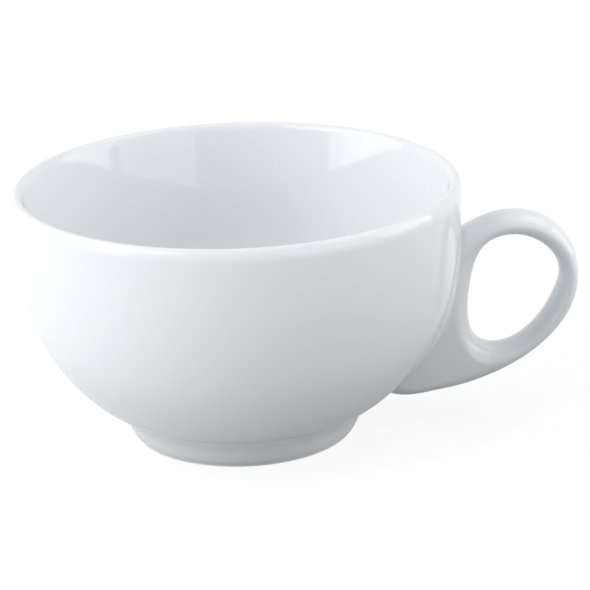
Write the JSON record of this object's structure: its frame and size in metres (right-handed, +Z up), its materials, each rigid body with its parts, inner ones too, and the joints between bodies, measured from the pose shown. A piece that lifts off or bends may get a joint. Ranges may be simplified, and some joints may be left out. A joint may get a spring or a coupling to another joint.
{
  "type": "cup",
  "caption": "Wide white porcelain cup with a rounded bowl on a low foot ring and a cast ear handle.",
  "frame": {"origin": "on the cup's axis, in the plane that the foot ring stands on", "axes": "+Z up along the cup's axis, +X towards the handle, +Y completes the right-handed frame"},
  "size_m": [0.1321, 0.104, 0.0606],
  "materials": {
    "porcelain_clay": "fired white, bare and matt",
    "slip": "fired white, bare and matt",
    "clear_glaze": "glossy white"
  },
  "bodies": {
    "root": {"bowl": "porcelain_clay", "foot_ring": "porcelain_clay", "foot_slip": "slip", "handle": "porcelain_clay", "handle_slip": "slip", "inside_glaze": "clear_glaze", "outside_glaze": "clear_glaze", "handle_glaze": "clear_glaze", "base_glaze": "clear_glaze"}
  },
  "joints": []
}
